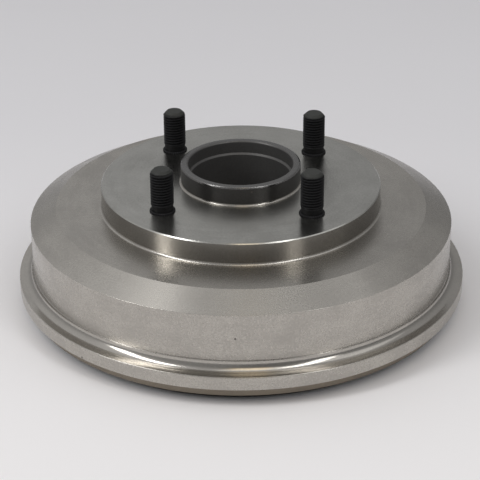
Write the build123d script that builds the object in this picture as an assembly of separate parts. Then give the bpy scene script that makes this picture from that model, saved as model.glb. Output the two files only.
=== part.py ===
"""Rear brake drum with its hub in one casting, and four pressed-in wheel studs.

Millimetres. The origin is the centre of the stud circle on the wheel mounting face.
+Z is the axle axis and points out of the car, towards the wheel, so the drum's open
end faces down. Depths are measured down from the wheel mounting face.
"""

import os
from math import cos, radians, sin, tan

from build123d import *

# ---------------------------------------------------------------- driving dimensions

# friction ring, which the brake shoes press against from inside
friction_diameter = 203.0
ring_wall = 10.6
overall_depth = 66.0  # wheel face to open edge
relief_depth = 1.2  # groove above the friction surface, where the grinding wheel runs out
relief_width = 3.0
mouth_chamfer_radial = 1.5  # lead-in for the shoes
mouth_chamfer_depth = 2.6

# wheel mounting face and the steps outside it
stud_circle_diameter = 108.0
stud_count = 4
first_stud_angle = 45.0
face_border = 20.1  # wheel face outside the stud circle
face_step = 11.9  # wheel face above the shoulder
cone_width = 13.7  # between the shoulder and the ring, measured radially
cone_drop = 7.1

# rim round the open end
rim_lift = 5.7  # rim above the open edge, so the ring alone stands on the bench
rim_overhang = 7.6  # rim outside the ring
rim_band_height = 7.0
rim_foot_height = 4.4  # narrower foot under the band
rim_foot_step = 0.8
rim_foot_draft = 1.5  # the foot narrows by this much towards the open edge
rim_fillet = 4.4  # between the ring and the rim
mouth_land = 7.0  # flat end of the ring, inside the groove
groove_width = 5.0  # the backing plate's edge runs in this groove
groove_depth = 4.5  # up from the rim's foot

# web
face_web = 9.5  # under the wheel face
shoulder_web = 7.0  # under the shoulder
step_wall = 7.5  # between the outer and the inner step
step_draft = 3.0  # the inner step widens by this much towards the open end
corner_web = 5.0  # under the foot of the cone

# bearing housing: spigot outside, boss inside
spigot_wall = 4.05  # outside the cap seat
spigot_height = 10.5
bearing_diameter = 53.0
bearing_bore_length = 40.0  # down to the shoulder
cap_seat_step = 1.15  # the hub cap's seat is this much wider than the bearing, all round
cap_seat_depth = 6.8
bearing_lead_in = 0.8  # height of the slope from the cap seat to the bearing bore
shoulder_step = 3.0  # shoulder that the bearing is pressed against
shoulder_thickness = 4.0
boss_wall = 7.5
boss_draft = 2.0  # the boss widens by this much towards the web

# edges
small_chamfer = 0.5
rim_chamfer = 0.3
edge_radius = 0.3
spigot_fillet = 1.0
face_fillet = 1.2
casting_fillet = 4.0
groove_fillet = 1.0
foot_edge_radius = 0.8
spigot_edge_radius = 1.0

# wheel studs, M12 x 1.5
thread_diameter = 12.0
shank_diameter = 11.2  # plain stretch below the thread
stud_standout = 23.3  # above the wheel face
thread_start = 4.2  # above the wheel face
tip_diameter = 8.2
knurl_diameter = 13.3
knurl_depth = 0.35
knurl_teeth = 36
knurl_standout = 1.0  # the knurl shows this much above the wheel face
stud_head_diameter = 18.0
stud_head_thickness = 3.5
stud_relief_width = 1.2  # relief under the head, as wide as the thread, so the head pulls down flat

# ------------------------------------------------------------------- derived places

friction_radius = friction_diameter / 2
ring_radius = friction_radius + ring_wall
shoulder_radius = ring_radius - cone_width
face_radius = stud_circle_diameter / 2 + face_border
ring_top_depth = face_step + cone_drop

rim_radius = ring_radius + rim_overhang
foot_radius = rim_radius - rim_foot_step
foot_end_radius = foot_radius - rim_foot_draft
foot_depth = overall_depth - rim_lift
foot_top_depth = foot_depth - rim_foot_height
rim_top_depth = foot_top_depth - rim_band_height
groove_inner_radius = friction_radius + mouth_chamfer_radial + mouth_land
groove_outer_radius = groove_inner_radius + groove_width
groove_top_depth = foot_depth - groove_depth

relief_radius = friction_radius + relief_depth
relief_top_depth = ring_top_depth + corner_web
shoulder_web_depth = face_step + shoulder_web
inner_shoulder_radius = relief_radius - (relief_top_depth - shoulder_web_depth) * cone_width / cone_drop
inner_step_radius = face_radius - step_wall

bearing_radius = bearing_diameter / 2
cap_seat_radius = bearing_radius + cap_seat_step
spigot_radius = cap_seat_radius + spigot_wall
cap_seat_height = spigot_height - cap_seat_depth
bearing_top_height = cap_seat_height - bearing_lead_in
bearing_end_depth = bearing_bore_length - bearing_top_height
boss_end_depth = bearing_end_depth + shoulder_thickness
shoulder_bore_radius = bearing_radius - shoulder_step
boss_end_radius = bearing_radius + boss_wall
boss_root_radius = boss_end_radius + boss_draft

stud_circle_radius = stud_circle_diameter / 2
knurl_radius = knurl_diameter / 2


def drum_outline():
    """Corners of the drum's half section as (radius, height, corner radius)."""
    spigot = [
        (cap_seat_radius, spigot_height, spigot_edge_radius),
        (spigot_radius, spigot_height, spigot_edge_radius),
        (spigot_radius, 0, spigot_fillet),
    ]
    outer_steps = [
        (face_radius - small_chamfer, 0, 0),
        (face_radius, -small_chamfer, 0),
        (face_radius, -face_step, face_fillet),
        (shoulder_radius, -face_step, edge_radius),
        (ring_radius, -ring_top_depth, edge_radius),
    ]
    rim = [
        (ring_radius, -rim_top_depth, rim_fillet),
        (rim_radius - rim_chamfer, -rim_top_depth, 0),
        (rim_radius, -rim_top_depth - rim_chamfer, 0),
        (rim_radius, -foot_top_depth, 0),
        (foot_radius, -foot_top_depth, 0),
        (foot_end_radius, -foot_depth, foot_edge_radius),
        (groove_outer_radius, -foot_depth, 0),
        (groove_outer_radius, -groove_top_depth, groove_fillet),
        (groove_inner_radius, -groove_top_depth, groove_fillet),
        (groove_inner_radius, -overall_depth + small_chamfer, 0),
        (groove_inner_radius - small_chamfer, -overall_depth, 0),
    ]
    friction_surface = [
        (friction_radius + mouth_chamfer_radial, -overall_depth, 0),
        (friction_radius, -overall_depth + mouth_chamfer_depth, 0),
        (friction_radius, -relief_top_depth - relief_width, 0),
        (relief_radius, -relief_top_depth - relief_width + relief_depth, 0),
        (relief_radius, -relief_top_depth, edge_radius),
    ]
    web_inside = [
        (inner_shoulder_radius, -shoulder_web_depth, casting_fillet),
        (inner_step_radius + step_draft, -shoulder_web_depth, casting_fillet),
        (inner_step_radius, -face_web, casting_fillet),
        (boss_root_radius, -face_web, casting_fillet),
    ]
    boss = [
        (boss_end_radius, -boss_end_depth + small_chamfer, 0),
        (boss_end_radius - small_chamfer, -boss_end_depth, 0),
        (shoulder_bore_radius + small_chamfer, -boss_end_depth, 0),
        (shoulder_bore_radius, -boss_end_depth + small_chamfer, 0),
        (shoulder_bore_radius, -bearing_end_depth, 0),
    ]
    bearing_bore = [
        (bearing_radius, -bearing_end_depth, 0),
        (bearing_radius, bearing_top_height, 0),
        (cap_seat_radius, cap_seat_height, 0),
    ]
    return spigot + outer_steps + rim + friction_surface + web_inside + boss + bearing_bore


def stud_places():
    """The four stud axes, on the wheel mounting face."""
    return PolarLocations(stud_circle_radius, stud_count, start_angle=first_stud_angle)


def make_drum():
    """The casting: the section turned about the axle, with the stud holes drilled."""
    outline = drum_outline()
    points = [(radius, 0, height) for radius, height, _ in outline]
    corner_radii = [corner for _, _, corner in outline]
    section = make_face(FilletPolyline(*points, radius=corner_radii, close=True).edges())
    casting = revolve(section, Axis.Z, 360)
    stud_hole = Pos(0, 0, -face_web / 2) * Cylinder(knurl_radius, 2 * face_web)
    return casting - stud_places() * stud_hole


def make_stud():
    """One wheel stud on the Z axis: head, serrated press-in shank, plain neck and thread."""
    head_bottom = -face_web - stud_head_thickness
    knurl_bottom = -face_web + stud_relief_width
    tip_taper = (thread_diameter - tip_diameter) / 2
    neck_taper = (thread_diameter - shank_diameter) / 2
    body_outline = [
        (0, stud_standout),
        (tip_diameter / 2, stud_standout),
        (thread_diameter / 2, stud_standout - tip_taper),
        (thread_diameter / 2, thread_start),
        (shank_diameter / 2, thread_start - neck_taper),
        (shank_diameter / 2, knurl_bottom),
        (thread_diameter / 2, knurl_bottom),
        (thread_diameter / 2, -face_web),
        (stud_head_diameter / 2, -face_web),
        (stud_head_diameter / 2, head_bottom + small_chamfer),
        (stud_head_diameter / 2 - small_chamfer, head_bottom),
        (0, head_bottom),
    ]
    body = revolve(make_face(Polyline(*[(r, 0, z) for r, z in body_outline], close=True)), Axis.Z)

    notch_half_angle = 180 / knurl_teeth * 0.7
    notch_half_width = knurl_radius * sin(radians(notch_half_angle))
    notch_mouth = knurl_radius * cos(radians(notch_half_angle)) + knurl_depth
    notch = make_face(
        Polyline(
            (notch_mouth, -2 * notch_half_width),
            (notch_mouth, 2 * notch_half_width),
            (knurl_radius - knurl_depth, 0),
            close=True,
        )
    )
    knurl_section = Circle(knurl_radius) - PolarLocations(0, knurl_teeth) * notch
    knurl_height = knurl_standout - knurl_bottom
    knurl = Pos(0, 0, knurl_bottom) * extrude(knurl_section, knurl_height)
    blunt = Pos(0, 0, knurl_bottom) * Cylinder(
        knurl_radius, knurl_height, align=(Align.CENTER, Align.CENTER, Align.MIN)
    )
    blunt = chamfer(blunt.edges().group_by(Axis.Z)[-1], knurl_depth)
    return body + (knurl & blunt)


def main():
    os.makedirs("parts", exist_ok=True)
    export_step(make_drum(), "parts/drum.step")
    stud = make_stud()
    for number, place in enumerate(stud_places(), start=1):
        export_step(place * stud, f"parts/wheel_stud_{number}.step")


main()
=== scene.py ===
"""Looks of the brake drum: bare turned iron, black wheel studs, and a plain pale studio."""

from math import ceil, cos, pi, radians, sin, tan

import bmesh
import bpy
from mathutils import Matrix, Vector


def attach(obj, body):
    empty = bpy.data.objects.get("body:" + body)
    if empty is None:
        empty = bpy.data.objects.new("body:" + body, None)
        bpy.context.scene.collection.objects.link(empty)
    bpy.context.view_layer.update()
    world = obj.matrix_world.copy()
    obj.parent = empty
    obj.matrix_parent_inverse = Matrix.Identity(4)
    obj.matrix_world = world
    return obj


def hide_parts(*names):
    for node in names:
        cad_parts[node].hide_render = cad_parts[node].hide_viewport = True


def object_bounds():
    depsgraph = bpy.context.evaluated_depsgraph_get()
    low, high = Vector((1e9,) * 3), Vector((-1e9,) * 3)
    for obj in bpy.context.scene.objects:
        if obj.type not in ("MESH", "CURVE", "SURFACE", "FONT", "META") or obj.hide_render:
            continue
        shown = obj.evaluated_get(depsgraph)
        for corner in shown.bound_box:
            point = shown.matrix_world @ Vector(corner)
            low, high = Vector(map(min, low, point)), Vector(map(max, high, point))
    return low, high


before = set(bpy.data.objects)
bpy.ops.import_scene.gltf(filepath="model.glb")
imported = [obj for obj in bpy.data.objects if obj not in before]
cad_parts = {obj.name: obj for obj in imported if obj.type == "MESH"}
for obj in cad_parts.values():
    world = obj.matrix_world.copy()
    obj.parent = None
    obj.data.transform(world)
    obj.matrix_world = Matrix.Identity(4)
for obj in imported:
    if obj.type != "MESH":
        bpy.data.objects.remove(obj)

cad_box = [list(corner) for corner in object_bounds()]
scene = bpy.context.scene
scene.view_settings.view_transform = "Standard"

# ------------------------------------------------------------------ camera
# A long lens a little to the right of the front, looking down on the wheel mounting
# face from under a metre away, so that the drum's circles are nearly as wide in front
# as behind.
MM = 0.001
CAMERA_DISTANCE = 884 * MM  # to the middle of the wheel mounting face
CAMERA_ELEVATION = radians(25.07)
CAMERA_TURN = radians(2.96)  # round the drum, from the front
CAMERA_TILT = radians(27.13)  # below the horizon
CAMERA_PAN = radians(-0.042)
CAMERA_ROLL = radians(-0.33)


def seen(x, y, z):
    """A direction in the camera's terms (to its right, away from it, up), in the drum's frame."""
    c, s = cos(CAMERA_TURN), sin(CAMERA_TURN)
    return Vector((x * c - y * s, x * s + y * c, z))


camera_place = seen(0, -cos(CAMERA_ELEVATION), sin(CAMERA_ELEVATION)) * CAMERA_DISTANCE
forward = seen(sin(CAMERA_PAN) * cos(CAMERA_TILT), cos(CAMERA_PAN) * cos(CAMERA_TILT), -sin(CAMERA_TILT))
level_right = forward.cross(Vector((0, 0, 1))).normalized()
level_up = level_right.cross(forward)
right = level_right * cos(CAMERA_ROLL) + level_up * sin(CAMERA_ROLL)
up = level_up * cos(CAMERA_ROLL) - level_right * sin(CAMERA_ROLL)
camera = bpy.data.objects.new("camera", bpy.data.cameras.new("camera"))
camera.data.lens = 124.8  # on a 36 mm sensor
camera.data.clip_start = 0.01
camera.matrix_world = Matrix.Translation(camera_place) @ Matrix((right, up, -forward)).transposed().to_4x4()
scene.collection.objects.link(camera)
scene.camera = camera


# ------------------------------------------------------------------ floor
# A wide sheet of matt white paper, laid flat, which the drum's open edge stands on. It
# runs 12 m each way, and is painted a little darker grey behind the drum than in front of it, as shade.
def linear(hex_colour):
    """An sRGB hex colour as linear RGBA."""
    parts = [int(hex_colour[i : i + 2], 16) / 255 for i in (1, 3, 5)]
    return [c / 12.92 if c <= 0.04045 else ((c + 0.055) / 1.055) ** 2.4 for c in parts] + [1.0]


def add(tree, kind, settings=(), **inputs):
    """A node with its settings and inputs. An input is named, or i and its number, and takes
    a socket to link from or a value to hold."""
    node = tree.nodes.new(kind)
    for name, value in dict(settings).items():
        setattr(node, name, value)
    for name, value in inputs.items():
        place = int(name[1:]) if name[1:].isdigit() else name.replace("_", " ")
        if isinstance(value, bpy.types.NodeSocket):
            tree.links.new(value, node.inputs[place])
        else:
            node.inputs[place].default_value = value
    return node


def new_material(name):
    """An empty node material, as its material and its tree."""
    material = bpy.data.materials.new(name)
    material.use_nodes = True
    material.node_tree.nodes.clear()
    return material, material.node_tree


FLOOR_RADIUS = 12  # metres
FLOOR_PLACE = (0, 0, cad_box[0][2])
bpy.ops.mesh.primitive_circle_add(vertices=128, radius=FLOOR_RADIUS, fill_type="NGON", location=FLOOR_PLACE)
paper_sheet = bpy.context.object
paper_sheet.name = "floor"

# Uncoated paper scatters light evenly and has no shine. Its pulp shows as faint clouds,
# some 330 mm across.
RGBA = {"data_type": "RGBA"}
DOT = {"operation": "DOT_PRODUCT"}
paper, tree = new_material("matt_white_paper")
BLEND_BACK, BLEND_FRONT = 0.25, -0.2  # metres behind the axle, from the paper's painted shade to its paler colour
place = add(tree, "ShaderNodeTexCoord").outputs["Object"]
clouds = add(tree, "ShaderNodeTexNoise", Vector=place, Scale=3.0, Detail=2.0).outputs[0]
behind = add(tree, "ShaderNodeVectorMath", DOT, i0=place, i1=seen(0, 1, 0)).outputs["Value"]
smooth = {"interpolation_type": "SMOOTHSTEP"}
in_front = add(tree, "ShaderNodeMapRange", smooth, i0=behind, i1=BLEND_BACK, i2=BLEND_FRONT).outputs[0]
# painted shade: near white in front, turning to a darker grey behind, where less light falls
paler = add(tree, "ShaderNodeMix", RGBA, i0=clouds, i6=linear("#EFEEEF"), i7=linear("#F3F1F2"))
painted_shade_behind = add(tree, "ShaderNodeMix", RGBA, i0=clouds, i6=linear("#E0DFE2"), i7=linear("#E4E3E6"))
shade = add(tree, "ShaderNodeMix", RGBA, i0=in_front, i6=painted_shade_behind.outputs[2], i7=paler.outputs[2])
matt = add(tree, "ShaderNodeBsdfDiffuse", Color=shade.outputs[2])
add(tree, "ShaderNodeOutputMaterial", Surface=matt.outputs[0])
paper_sheet.data.materials.append(paper)

# ------------------------------------------------------------------ light
# A pale room, dim at the horizon and brighter higher up, with a tall soft lamp on either
# side of the camera. The left one is the stronger. A broad screen fills the right side, a
# wide lamp hangs overhead, and a tan card above the camera warms the front of the rim.
world = bpy.data.worlds.new("studio")
scene.world = world
world.use_nodes = True
tree = world.node_tree
tree.nodes.clear()
ROOM_TONES = [  # sine of the height above the horizon, brightness
    (0.0, 0.34),
    (0.25, 0.36),
    (0.45, 0.5),
    (0.75, 0.58),
    (0.88, 0.68),
    (1.0, 0.5),
]
LEFT_TONE, RIGHT_TONE = 1.1, 0.74  # the room's left side is the brighter
FRONT_TONE = 0.5  # and above the camera it is dark
way = add(tree, "ShaderNodeTexCoord").outputs["Generated"]
axes = add(tree, "ShaderNodeSeparateXYZ", Vector=way)
room = add(tree, "ShaderNodeValToRGB", Fac=axes.outputs[2])
stops = room.color_ramp.elements
while len(stops) < len(ROOM_TONES):
    stops.new(0.5)
for stop, (height, tone) in zip(stops, ROOM_TONES):
    stop.position = height
    stop.color = (tone, tone, tone * 1.01, 1)
to_right = add(tree, "ShaderNodeVectorMath", DOT, i0=way, i1=seen(1, 0, 0)).outputs["Value"]
to_front = add(tree, "ShaderNodeVectorMath", DOT, i0=way, i1=seen(0, -1, 0)).outputs["Value"]
side = add(tree, "ShaderNodeMapRange", i0=to_right, i1=-0.15, i2=0.15, i3=LEFT_TONE, i4=RIGHT_TONE).outputs[0]
TIMES = {"operation": "MULTIPLY"}
front_up = add(tree, "ShaderNodeMath", TIMES, i0=to_front, i1=axes.outputs[2]).outputs[0]
front = add(tree, "ShaderNodeMapRange", i0=front_up, i1=0.08, i2=0.45, i3=1.0, i4=FRONT_TONE).outputs[0]
evenness = add(tree, "ShaderNodeMath", TIMES, i0=side, i1=front).outputs[0]
background = add(tree, "ShaderNodeBackground", Color=room.outputs[0], Strength=evenness)
add(tree, "ShaderNodeOutputWorld", Surface=background.outputs[0])

LAMP_DISTANCE = 1.6  # metres


def softbox(name, azimuth, elevation, width, height, brightness, colour="#FFFFFF"):
    """A rectangular lamp that faces the drum. Azimuth 0 is the camera's side, and grows to
    its right. The brightness is the lamp's own, as the drum sees it."""
    lamp = bpy.data.lights.new(name, "AREA")
    lamp.shape = "RECTANGLE"
    lamp.size = width
    lamp.size_y = height
    lamp.energy = brightness * width * height * pi
    lamp.color = linear(colour)[:3]
    holder = bpy.data.objects.new(name, lamp)
    a, e = radians(azimuth), radians(elevation)
    holder.location = seen(sin(a) * cos(e), -cos(a) * cos(e), sin(e)) * LAMP_DISTANCE
    holder.rotation_euler = (-holder.location).to_track_quat("-Z", "Y").to_euler()
    scene.collection.objects.link(holder)


softbox("left_lamp", azimuth=-65, elevation=43, width=0.28, height=1.35, brightness=7.8)
softbox("right_lamp", azimuth=44, elevation=46, width=0.28, height=1.3, brightness=3.8)
softbox("right_screen", azimuth=76, elevation=48, width=1.1, height=0.9, brightness=0.45)
softbox("overhead_lamp", azimuth=15, elevation=67, width=0.62, height=1.0, brightness=0.68)
softbox("tan_card", azimuth=6, elevation=60, width=0.4, height=0.8, brightness=0.75, colour="#EBC878")

# ------------------------------------------------------------------ drum
# One grey iron casting with the hub in it, turned on a lathe all over except inside its
# web, and ground in its bores. The section is turned round the axle here with finer arcs
# than the solid's mesh, and the four stud holes are drilled.
FRICTION, RING, RIM, FOOT = 101.5, 112.1, 119.7, 118.9  # radii in mm, as are the next
SHOULDER, FACE, SPIGOT, CAP, BORE = 98.4, 74.1, 31.7, 27.65, 26.5

# The section's corners as (radius, height, corner radius) in mm, in groups of one finish.
# A finish lasts from its group's first corner to the next group's. The outline runs from the
# hub cap's bore over the spigot, down the outside, round the open edge and up the inside.
OUTLINE = [
    ("ground_bore_iron", [(CAP, 10.5, 1.0)]),
    ("rubbed_ground_iron", [(CAP + 1.1, 10.5, 0), (SPIGOT, 10.5, 1.0)]),
    ("dark_ground_iron", [(SPIGOT, 9.4, 0), (SPIGOT, 1.2, 0)]),
    ("turned_grey_iron", [(SPIGOT, 0, 1.0)]),
    # wheel mounting face, and the wall round it
    ("faced_iron", [(SPIGOT + 1.1, 0, 0), (FACE - 0.5, 0, 0)]),
    ("oily_turned_iron", [(FACE, -0.5, 0)]),
    # shoulder, cone and ring, down to the fine groove where the tool was changed
    ("turned_grey_iron", [(FACE, -11.9, 1.2), (SHOULDER, -11.9, 0.15), (RING, -19, 0.15)]),
    ("turned_grey_iron", [(RING, -43.6, 0), (RING - 0.2, -43.95, 0)]),
    # rim
    ("burnished_iron", [(RING, -44.3, 0), (RING, -48.9, 4.4)]),
    ("turned_grey_iron", [(RIM, -48.9, 0.4), (RIM, -55.9, 0)]),
    ("rusty_cast_iron", [(FOOT, -55.9, 0), (FOOT - 3.3, -61.5, 0.3)]),
    # groove for the backing plate's edge, and the end that stands on the bench
    # painted shade: the groove and the wall below it are near black, as the shade under the rim
    ("greasy_cast_iron", [(115, -61.5, 0), (115, -55.8, 1.0), (110, -55.8, 1.0), (110, -65.5, 0)]),
    ("turned_grey_iron", [(109.5, -66, 0), (FRICTION + 1.5, -66, 0)]),
    # friction surface, and the relief above it
    ("ground_friction_surface", [(FRICTION, -63.4, 0), (FRICTION, -27, 0), (FRICTION + 1.2, -25.8, 0)]),
    # inside of the web
    ("as_cast_grey_iron", [(FRICTION + 1.2, -24, 0.3), (92.85, -18.9, 4), (69.6, -18.9, 4)]),
    ("as_cast_grey_iron", [(66.6, -9.5, 4), (36, -9.5, 4)]),
    # end of the bearing housing
    ("turned_grey_iron", [(34, -40.6, 0), (33.5, -41.1, 0), (24, -41.1, 0), (23.5, -40.6, 0)]),
    ("ground_bore_iron", [(23.5, -37.1, 0), (BORE, -37.1, 0), (BORE, 2.9, 0), (CAP, 3.7, 0)]),
]
ARC_STEP = radians(11)  # one facet of a rounded corner turns by this at most


def rounded(corners):
    """The closed outline's points as (radius, height, finish), with an arc at each rounded corner."""
    points = []
    for i, (finish, r, z, fillet) in enumerate(corners):
        here = Vector((r, z))
        if not fillet:
            points.append((r, z, finish))
            continue
        back = (Vector(corners[i - 1][1:3]) - here).normalized()
        on = (Vector(corners[(i + 1) % len(corners)][1:3]) - here).normalized()
        half = back.angle(on) / 2
        centre = here + (back + on).normalized() * fillet / sin(half)
        first = here + back * fillet / tan(half) - centre
        sweep = pi - 2 * half
        side = 1 if back.cross(on) < 0 else -1
        steps = max(3, ceil(sweep / ARC_STEP))
        for k in range(steps + 1):
            spoke = Matrix.Rotation(side * sweep * k / steps, 2) @ first
            points.append((centre.x + spoke.x, centre.y + spoke.y, finish))
    return points


def solid_of_revolution(name, rows, columns, radius_at=None, closed=False):
    """A mesh of rows of (radius, height, finish) turned round Z, and the finishes' names.
    radius_at(row, angle) may shape a row. A row of no radius is one point."""
    points, faces, finish_numbers, rings = [], [], [], []
    for row in rows:
        ring = []
        for j in range(1 if row[0] == 0 else columns):
            angle = 2 * pi * j / columns
            radius = radius_at(row, angle) if radius_at else row[0]
            ring.append(len(points))
            points.append((radius * cos(angle) * MM, radius * sin(angle) * MM, row[1] * MM))
        rings.append(ring)
    pairs = list(zip(rings, rings[1:])) + ([(rings[-1], rings[0])] if closed else [])
    names = list(dict.fromkeys(row[2] for row in rows))
    for (low, high), row in zip(pairs, rows):
        for j in range(columns):
            corners = [low[j % len(low)], low[(j + 1) % columns % len(low)]]
            corners += [high[(j + 1) % columns % len(high)], high[j % len(high)]]
            faces.append(list(dict.fromkeys(corners)))
            finish_numbers.append(names.index(row[2]))
    mesh = bpy.data.meshes.new(name)
    mesh.from_pydata(points, [], faces)
    mesh.polygons.foreach_set("material_index", finish_numbers)
    shell = bmesh.new()
    shell.from_mesh(mesh)
    bmesh.ops.recalc_face_normals(shell, faces=shell.faces)
    shell.to_mesh(mesh)
    shell.free()
    return mesh, names


def shaded_piece(name, mesh, cutters=(), sharp_angle=28):
    """A piece of the mesh, less the cutters, with smooth arcs and crisp edges."""
    piece = bpy.data.objects.new(name, mesh)
    scene.collection.objects.link(piece)
    for cutter in cutters:
        cut = piece.modifiers.new("cut", "BOOLEAN")
        cut.operation = "DIFFERENCE"
        cut.solver = "EXACT"
        cut.object = cutter
    evaluated = piece.evaluated_get(bpy.context.evaluated_depsgraph_get())
    mesh = bpy.data.meshes.new_from_object(evaluated)
    piece.modifiers.clear()
    piece.data = mesh
    mesh.polygons.foreach_set("use_smooth", [True] * len(mesh.polygons))
    mesh.set_sharp_from_angle(angle=radians(sharp_angle))
    weighted = piece.modifiers.new("weighted", "WEIGHTED_NORMAL")
    weighted.keep_sharp = True
    return piece


STUD_ANGLES = {"wheel_stud_1": 45, "wheel_stud_2": 135, "wheel_stud_3": 225, "wheel_stud_4": 315}
STUD_CIRCLE, STUD_HOLE = 54, 6.65  # radii in mm


def on_stud_circle(angle):
    """The place of the stud at the angle, on the wheel mounting face."""
    return (STUD_CIRCLE * cos(radians(angle)) * MM, STUD_CIRCLE * sin(radians(angle)) * MM, 0)


corners = [(finish, *corner) for finish, group in OUTLINE for corner in group]
drum_mesh, drum_finishes = solid_of_revolution("drum", rounded(corners), 360, closed=True)
drill = [(0, -13, ""), (STUD_HOLE, -13, ""), (STUD_HOLE, 3, ""), (0, 3, "")]
hole_cutters = []
for angle in STUD_ANGLES.values():
    cutter_mesh, _ = solid_of_revolution("stud_hole", drill, 72)
    cutter = bpy.data.objects.new("stud_hole", cutter_mesh)
    cutter.location = on_stud_circle(angle)
    scene.collection.objects.link(cutter)
    hole_cutters.append(cutter)
drum = shaded_piece("turned_drum", drum_mesh, hole_cutters)
for cutter in hole_cutters:
    bpy.data.objects.remove(cutter)

TIMES_AND_ADD = {"operation": "MULTIPLY_ADD"}


def machined_iron(name, light, dark, roughness, anisotropic, pitch, depth, metallic=1.0):
    """Grey iron cut on a lathe or ground. The tool leaves fine rings round the axle, which
    draw each highlight out across them. pitch is the rings' spacing in mm and depth is theirs:
    a real tool's rings, 0.1 to 0.3 mm apart and deeper, are drawn coarser and shallower."""
    material, tree = new_material(name)
    place = add(tree, "ShaderNodeTexCoord").outputs["Object"]
    flat = add(tree, "ShaderNodeVectorMath", TIMES, i0=place, i1=(1, 1, 0)).outputs[0]
    radius = add(tree, "ShaderNodeVectorMath", {"operation": "LENGTH"}, i0=flat).outputs["Value"]
    height = add(tree, "ShaderNodeSeparateXYZ", i0=place).outputs[2]
    # roughly the distance along the outline, so that one pattern serves walls and faces
    along = add(tree, "ShaderNodeMath", TIMES_AND_ADD, i0=height, i1=0.7, i2=radius).outputs[0]
    line = {"noise_dimensions": "1D"}
    rings = add(tree, "ShaderNodeTexNoise", line, W=along, Scale=1 / (pitch * MM), Detail=3.0).outputs[0]
    # wiped oil, in soft arcs some 3 mm wide, in patches of 22 mm and in a grain of 0.9 mm
    bearing = add(tree, "ShaderNodeVectorMath", {"operation": "NORMALIZE"}, i0=flat).outputs[0]
    band = add(tree, "ShaderNodeMath", TIMES, i0=along, i1=1 / (3 * MM)).outputs[0]
    lift = add(tree, "ShaderNodeCombineXYZ", Z=band).outputs[0]
    arc_place = add(tree, "ShaderNodeVectorMath", TIMES_AND_ADD, i0=bearing, i1=(3, 3, 3), i2=lift).outputs[0]
    arcs = add(tree, "ShaderNodeTexNoise", Vector=arc_place, Scale=1.0, Detail=3.0).outputs[0]
    patches = add(tree, "ShaderNodeTexNoise", Vector=place, Scale=1 / (22 * MM), Detail=5.0, Roughness=0.6)
    grain = add(tree, "ShaderNodeTexNoise", Vector=place, Scale=1 / (0.9 * MM), Detail=2.0).outputs[0]
    film = add(tree, "ShaderNodeMath", TIMES_AND_ADD, i0=arcs, i1=0.4, i2=patches.outputs[0]).outputs[0]
    film = add(tree, "ShaderNodeMath", {"operation": "ADD"}, i0=film, i1=grain).outputs[0]
    wiped = add(tree, "ShaderNodeMapRange", Value=film, i1=0.95, i2=1.45).outputs[0]
    tone = add(tree, "ShaderNodeMix", RGBA, i0=wiped, i6=linear(dark), i7=linear(light)).outputs[2]
    # casting pores about 1 mm across, some 20 mm apart
    cell = add(tree, "ShaderNodeTexVoronoi", Vector=place, Scale=1 / (20 * MM)).outputs["Distance"]
    pore = add(tree, "ShaderNodeMapRange", Value=cell, i1=0.02, i2=0.035, i3=1.0, i4=0.0).outputs[0]
    colour = add(tree, "ShaderNodeMix", RGBA, i0=pore, i6=tone, i7=linear("#6A6662")).outputs[2]
    gloss = add(tree, "ShaderNodeMapRange", Value=wiped, i3=roughness + 0.03, i4=roughness - 0.03).outputs[0]
    # the cut wanders by 0.02 mm over some 30 mm, which bends the reflections a little
    waves = add(tree, "ShaderNodeTexNoise", Vector=place, Scale=1 / (30 * MM), Detail=1.0).outputs[0]
    wavy = add(tree, "ShaderNodeBump", Strength=1.0, Distance=0.02 * MM, Height=waves).outputs[0]
    grooved = add(tree, "ShaderNodeBump", Strength=1.0, Distance=depth * MM, Height=rings, Normal=wavy)
    round_axle = add(tree, "ShaderNodeTangent", {"direction_type": "RADIAL", "axis": "Z"}).outputs[0]
    metal = add(
        tree,
        "ShaderNodeBsdfPrincipled",
        Base_Color=colour,
        Metallic=metallic,
        Roughness=gloss,
        Anisotropic=anisotropic,
        Anisotropic_Rotation=0.25,
        Tangent=round_axle,
        Normal=grooved.outputs[0],
    )
    add(tree, "ShaderNodeOutputMaterial", Surface=metal.outputs[0])
    return material


def cast_iron_skin(name, dark, light):
    """Grey iron as the sand mould left it: dull and grainy, with no clear highlight. The
    sand's grain, really about 0.3 mm, is drawn 1.4 mm wide so that it shows."""
    material, tree = new_material(name)
    place = add(tree, "ShaderNodeTexCoord").outputs["Object"]
    sand = add(tree, "ShaderNodeTexNoise", Vector=place, Scale=1 / (1.4 * MM), Detail=4.0, Roughness=0.6)
    patches = add(tree, "ShaderNodeTexNoise", Vector=place, Scale=1 / (18 * MM), Detail=4.0).outputs[0]
    colour = add(tree, "ShaderNodeMix", RGBA, i0=patches, i6=linear(dark), i7=linear(light)).outputs[2]
    grain = add(tree, "ShaderNodeBump", Strength=1.0, Distance=0.25 * MM, Height=sand.outputs[0]).outputs[0]
    skin = add(
        tree, "ShaderNodeBsdfPrincipled", Base_Color=colour, Metallic=0.7, Roughness=0.62, Normal=grain
    )
    add(tree, "ShaderNodeOutputMaterial", Surface=skin.outputs[0])
    return material


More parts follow.
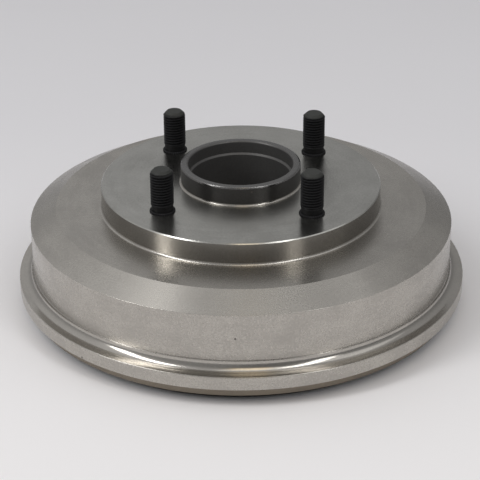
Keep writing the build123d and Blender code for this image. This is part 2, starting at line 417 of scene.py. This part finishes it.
irons = [
    # Turned walls: light grey, with soft highlights drawn out up and down them.
    machined_iron("turned_grey_iron", "#BCB8B1", "#ABA7A1", 0.28, 0.62, pitch=0.6, depth=0.0003),
    # The rim's fillet, smoothed by the form tool: crisp highlights, and dark between them.
    machined_iron("burnished_iron", "#B8B4AD", "#AEAAA4", 0.18, 0.5, pitch=0.6, depth=0.0002),
    # The wheel mounting face, cut flat: it shines in broad fans from the axle.
    machined_iron("faced_iron", "#BBBAB5", "#A9A8A3", 0.24, 0.75, pitch=0.4, depth=0.0003),
    # The wall round that face: darker than the other turned walls, with two long streaks.
    machined_iron("oily_turned_iron", "#918E88", "#86837E", 0.23, 0.8, pitch=0.6, depth=0.0003),
    # The spigot's wall, ground, under a dark film: near black, with hardly a highlight.
    machined_iron("dark_ground_iron", "#565554", "#4F4E4D", 0.46, 0.0, pitch=0.4, depth=0.0003),
    # The spigot's end, where that film is rubbed thin: a dull grey band.
    machined_iron("rubbed_ground_iron", "#7C7B7A", "#727170", 0.27, 0.6, pitch=0.4, depth=0.0003),
    # The bearing bore and the cap's bore, under the same film: dark and satin.
    machined_iron(
        "ground_bore_iron", "#605F5E", "#575655", 0.42, 0.3, pitch=0.3, depth=0.0006, metallic=0.55
    ),
    # The friction surface, ground by the wheel in fine rings: the brightest of all.
    machined_iron("ground_friction_surface", "#BAB8B3", "#ABA9A4", 0.24, 0.5, pitch=0.35, depth=0.001),
    # The inside of the web: brown-grey.
    cast_iron_skin("as_cast_grey_iron", "#57534E", "#7A736A"),
    # The backing plate's groove and the wall below it, painted near black as shade under the rim.
    cast_iron_skin("greasy_cast_iron", "#252321", "#363431"),
    # The bevel under the rim, with a thin bloom of rust: a warm tan.
    cast_iron_skin("rusty_cast_iron", "#7D756A", "#9B9182"),
]
iron_named = {material.name: material for material in irons}
for finish in drum_finishes:
    drum.data.materials.append(iron_named[finish])
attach(drum, "root")
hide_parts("drum")

# ------------------------------------------------------------------ wheel studs
# Four M12 x 1.5 steel studs, pressed into the drum from behind. Each has a rolled thread,
# a plain neck below it, and a serrated band that shows just above the wheel mounting face.
CREST, ROOT, NECK, TIP, HEAD = 5.97, 5.06, 5.6, 4.1, 9  # radii in mm
PITCH, STANDOUT = 1.5, 23.3
THREAD_START, RUN_OUT, KNURL_TOP = 4.2, 0.4, 1.0  # the first and the last stand above the face
KNURL, KNURL_DEPTH, KNURL_TEETH = STUD_HOLE, 0.35, 36  # the serrations fill the hole


def stud_radius(row, angle):
    """The stud's radius at a row and an angle: the row's own, cut by the thread or the knurl."""
    radius, height, _ = row
    if height > THREAD_START - RUN_OUT:
        # in each turn a flat root, a flank, a flat crest and a flank, as shares of the pitch
        turn = (height / PITCH - angle / (2 * pi)) % 1
        flank = min(max((abs(turn - 0.5) - 0.08) / 0.32, 0), 1)
        run_in = min(max((height - THREAD_START + RUN_OUT) / PITCH, 0), 1)
        return min(radius, CREST - (CREST - ROOT) * (1 - flank) * run_in)
    if KNURL - KNURL_DEPTH <= radius <= KNURL:
        return radius - KNURL_DEPTH * (1 + cos(KNURL_TEETH * angle)) / 2
    return radius


THREAD_ROWS = 150
stud_rows = [(0, -13, ""), (HEAD - 0.5, -13, ""), (HEAD, -12.5, ""), (HEAD, -9.5, "")]
stud_rows += [(6, -9.5, ""), (6, -8.3, ""), (KNURL, -8.3, ""), (KNURL, KNURL_TOP - KNURL_DEPTH, "")]
stud_rows += [(KNURL - KNURL_DEPTH, KNURL_TOP, ""), (NECK, KNURL_TOP, ""), (NECK, THREAD_START - RUN_OUT, "")]
for k in range(1, THREAD_ROWS + 1):
    z = THREAD_START - RUN_OUT + (STANDOUT - THREAD_START + RUN_OUT) * k / THREAD_ROWS
    stud_rows.append((min(CREST, NECK + (z - THREAD_START + RUN_OUT), TIP + STANDOUT - z), z, ""))
stud_rows.append((0, STANDOUT, ""))
stud_mesh, _ = solid_of_revolution("wheel_stud", stud_rows, 72, stud_radius)

# Steel in a black phosphate coat, lightly oiled: near black and satin, and a shade paler
# along the crests. The tip's colour is paler still, a painted reflection of the room behind it.
# Its crystals, really under 0.05 mm, are drawn 0.5 mm wide so that they show.
phosphate, tree = new_material("black_phosphated_steel")
place = add(tree, "ShaderNodeTexCoord").outputs["Object"]
crystals = add(tree, "ShaderNodeTexNoise", Vector=place, Scale=1 / (0.5 * MM), Detail=3.0).outputs[0]
oil = add(tree, "ShaderNodeTexNoise", Vector=place, Scale=1 / (6 * MM), Detail=3.0).outputs[0]
black = add(tree, "ShaderNodeMix", RGBA, i0=oil, i6=linear("#0D0D0E"), i7=linear("#161617")).outputs[2]
flat = add(tree, "ShaderNodeVectorMath", TIMES, i0=place, i1=(1, 1, 0)).outputs[0]
radius = add(tree, "ShaderNodeVectorMath", {"operation": "LENGTH"}, i0=flat).outputs["Value"]
crest = add(tree, "ShaderNodeMapRange", Value=radius, i1=(CREST - 0.22) * MM, i2=CREST * MM).outputs[0]
rubbed = add(tree, "ShaderNodeMix", RGBA, i0=crest, i6=black, i7=linear("#1B1B1D")).outputs[2]
height = add(tree, "ShaderNodeSeparateXYZ", i0=place).outputs[2]
# painted reflection: the colour turns paler over the tip, for the light its top catches from behind
tip_start, tip_end = (STANDOUT - 1.9) * MM, (STANDOUT - 0.8) * MM
painted_tip_reflection_mask = add(tree, "ShaderNodeMapRange", Value=height, i1=tip_start, i2=tip_end).outputs[0]
painted_tip_reflection = add(tree, "ShaderNodeMix", RGBA, i0=painted_tip_reflection_mask, i6=rubbed, i7=linear("#383937")).outputs[2]
satin = add(tree, "ShaderNodeMapRange", Value=crystals, i3=0.45, i4=0.58).outputs[0]
grain = add(tree, "ShaderNodeBump", Strength=1.0, Distance=0.01 * MM, Height=crystals).outputs[0]
coat = add(
    tree, "ShaderNodeBsdfPrincipled", Base_Color=painted_tip_reflection, Roughness=satin, Specular_IOR_Level=0.16, Normal=grain
)
add(tree, "ShaderNodeOutputMaterial", Surface=coat.outputs[0])
stud_mesh.materials.append(phosphate)

# Each stud was pressed in at whatever turn it had, so the threads don't line up.
THREAD_TURNS = {"wheel_stud_1": 20, "wheel_stud_2": 155, "wheel_stud_3": 260, "wheel_stud_4": 85}
for name, angle in STUD_ANGLES.items():
    stud = shaded_piece("threaded_" + name, stud_mesh.copy(), sharp_angle=40)
    stud.location = on_stud_circle(angle)
    stud.rotation_euler = (0, 0, radians(THREAD_TURNS[name]))
    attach(stud, "root")
    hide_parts(name)
